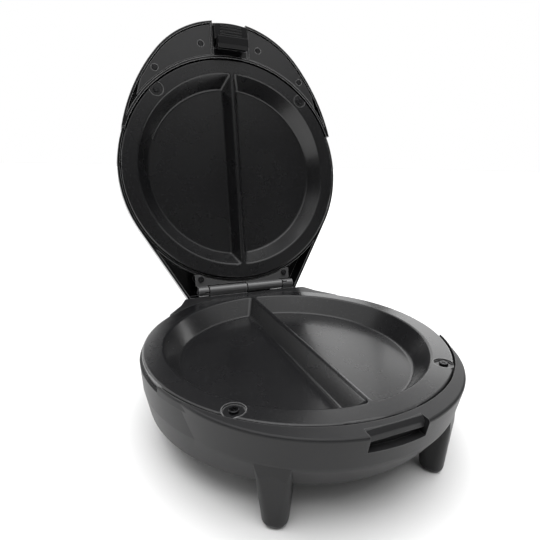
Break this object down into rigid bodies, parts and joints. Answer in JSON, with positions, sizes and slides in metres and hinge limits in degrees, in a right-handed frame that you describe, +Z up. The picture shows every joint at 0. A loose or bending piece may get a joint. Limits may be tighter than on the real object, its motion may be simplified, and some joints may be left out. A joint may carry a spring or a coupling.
{
  "type": "electric omelette maker",
  "caption": "Hinged electric omelette maker with half-moon wells in two cooking plates, round base on short legs, domed lid and front latch",
  "frame": {"origin": "middle of the bounding box on the floor, with the lid open on its stop", "axes": "+Z up; +X along the hinge pin; the latch notch of the base faces -Y"},
  "size_m": [0.2224, 0.315, 0.3191],
  "materials": {
    "base_plastic": "fine matte texture, charcoal",
    "lid_plastic": "satin black",
    "cover_plastic": "satin black",
    "latch_plastic": "satin black",
    "nonstick_plate": "cast, dark satin non-stick coating",
    "plate_screw": "darkened steel",
    "black_screw": "black zinc",
    "hinge_steel": "glossy black",
    "pin_steel": "blackened steel",
    "spring_steel": "spring wire",
    "element_steel": "sheathed heating tube",
    "clip_steel": "plated steel",
    "reflector_aluminium": "pressed sheet",
    "white_plastic": "heat-resistant plastic",
    "wire_sleeve": "glass-fibre sleeve",
    "gland_rubber": "black rubber",
    "foot_rubber": "black rubber",
    "red_lens": "clear red",
    "green_lens": "clear green",
    "lamp_glass": "small neon lamp"
  },
  "bodies": {
    "base": {"base_hinge_bracket": "hinge_steel", "base_hinge_screws": "black_screw", "base_housing": "base_plastic", "base_wiring": "wire_sleeve", "bottom_cover": "base_plastic", "bottom_cover_screws": "black_screw", "cord_gland": "gland_rubber", "foot_pad_front_left": "foot_rubber", "foot_pad_front_right": "foot_rubber", "foot_pad_rear_left": "foot_rubber", "foot_pad_rear_right": "foot_rubber", "hinge_pin": "pin_steel", "latch_strike": "base_plastic", "lower_cooking_plate": "nonstick_plate", "lower_element_clips": "clip_steel", "lower_heating_element": "element_steel", "lower_plate_screws": "plate_screw", "lower_reflector": "reflector_aluminium", "terminal_block": "white_plastic", "thermal_fuse": "clip_steel", "thermostat": "clip_steel"},
    "lid": {"lid_shell": "lid_plastic", "handle_cover_left": "cover_plastic", "handle_cover_right": "cover_plastic", "handle_cover_screws": "black_screw", "upper_cooking_plate": "nonstick_plate", "upper_plate_screws": "plate_screw", "upper_heating_element": "element_steel", "upper_element_clips": "clip_steel", "upper_reflector": "reflector_aluminium", "lid_hinge_bracket": "hinge_steel", "lid_hinge_screws": "black_screw", "power_lamp_lens": "red_lens", "ready_lamp_lens": "green_lens", "neon_lamps": "lamp_glass", "lamp_holder": "white_plastic", "lid_wiring": "wire_sleeve", "lid_connector": "white_plastic", "latch_pin": "pin_steel", "latch_spring": "spring_steel"},
    "latch": {"latch_lever": "latch_plastic"}
  },
  "joints": [
    {"name": "lid_hinge", "type": "hinge", "parent": "base", "child": "lid", "pos_m": [0, 0.0787, 0.0623], "axis": [-1, 0, 0], "range_deg": [-101.6, 0]},
    {"name": "latch_press", "type": "hinge", "parent": "lid", "child": "latch", "pos_m": [0, 0.13435, 0.29762], "axis": [-1, 0, 0], "range_deg": [0, 8], "stiffness_Nm_per_rad": 0.05, "springref_deg": -11.46, "deforming": ["latch_spring"]}
  ]
}
